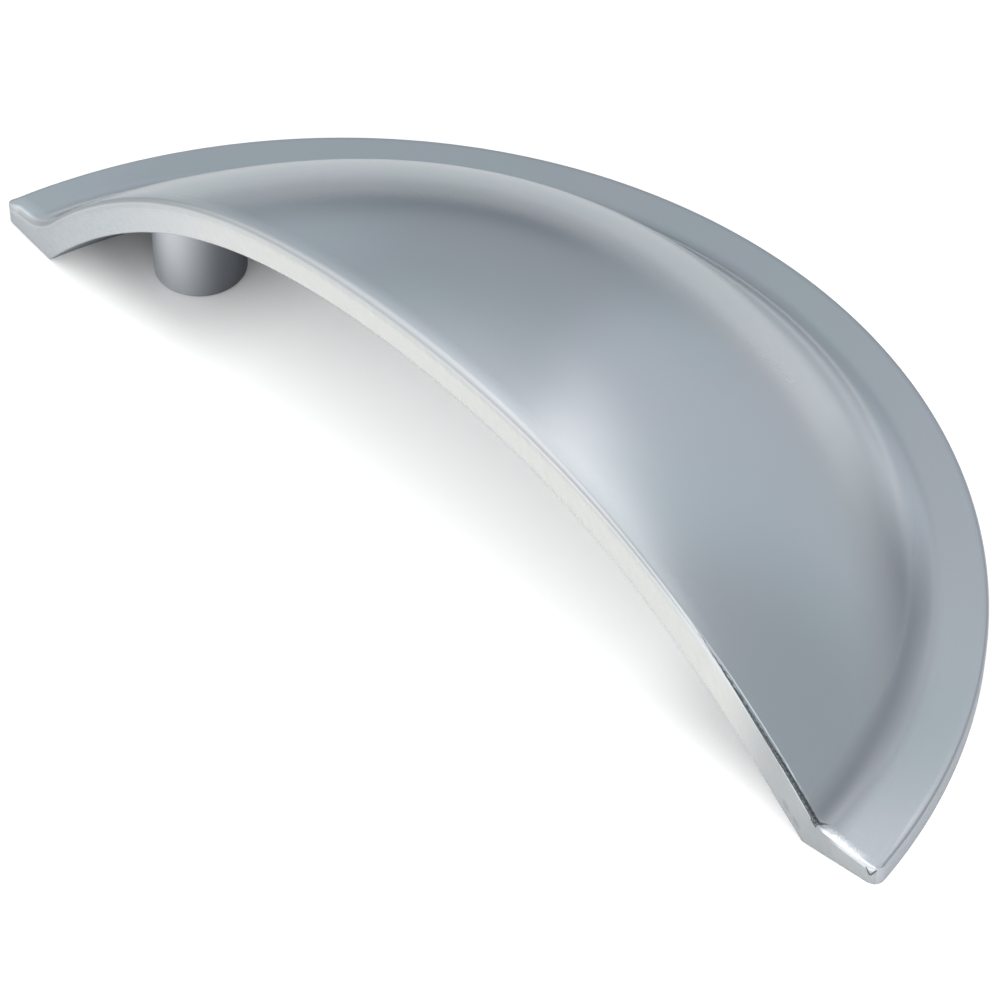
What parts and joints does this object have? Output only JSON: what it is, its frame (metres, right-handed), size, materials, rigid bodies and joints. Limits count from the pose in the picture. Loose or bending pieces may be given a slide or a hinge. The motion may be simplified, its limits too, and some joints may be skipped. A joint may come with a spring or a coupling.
{
  "type": "cup pull",
  "caption": "Half-moon cup pull in satin metal: a low dome with a curved flange and an open front lip, screwed to a drawer from behind.",
  "frame": {"origin": "middle of the bounding box at the mounting plane, the plane that lies against the drawer front", "axes": "+X from the left tip to the right tip, +Y from the open front lip to the curved back of the flange, +Z out of the drawer"},
  "size_m": [0.0936, 0.0416, 0.0222],
  "materials": {
    "satin_chrome": "satin chrome plate over a cast body, with a fine brushed grain"
  },
  "bodies": {
    "root": {"cup_pull": "satin_chrome"}
  },
  "joints": []
}
